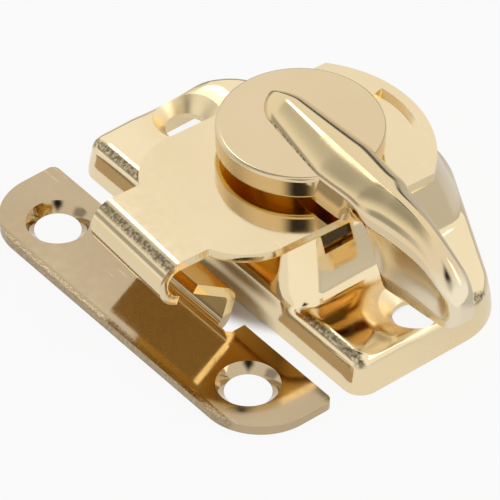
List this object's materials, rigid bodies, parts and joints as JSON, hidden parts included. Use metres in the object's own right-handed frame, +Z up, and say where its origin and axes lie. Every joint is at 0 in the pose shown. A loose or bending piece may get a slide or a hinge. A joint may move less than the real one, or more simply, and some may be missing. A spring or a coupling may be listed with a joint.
{
  "type": "sash lock",
  "caption": "Brass-plated sash lock: a thumb lever turns a J-shaped hook on a pressed base round behind the folded tongue of a screw-on keeper.",
  "frame": {"origin": "pivot axis where it meets the plane of the rails, midway between the base screws", "axes": "+X along the rails, the way the lever points when locked; +Y into the room, away from the keeper; +Z up from the rails, along the pivot axis"},
  "size_m": [0.0582, 0.0472, 0.0197],
  "materials": {
    "base_plate": "polished brass plate on pressed steel sheet",
    "keeper_plate": "polished brass plate on pressed steel sheet",
    "cam_plate": "polished brass plate on pressed steel sheet",
    "lever_plate": "polished brass plate on a casting",
    "post_steel": "turned steel",
    "spring_steel": "spring steel",
    "washer_steel": "stamped steel"
  },
  "bodies": {
    "fixed": {"base": "base_plate", "keeper": "keeper_plate"},
    "hook": {"cam_plate": "cam_plate", "lever": "lever_plate", "pivot_post": "post_steel", "spring_washer": "spring_steel", "flat_washer": "washer_steel"}
  },
  "joints": [
    {"name": "lock_turn", "type": "hinge", "parent": "fixed", "child": "hook", "pos_m": [0, 0, 0.0112], "axis": [0, 0, 1], "range_deg": [0, 93]}
  ]
}
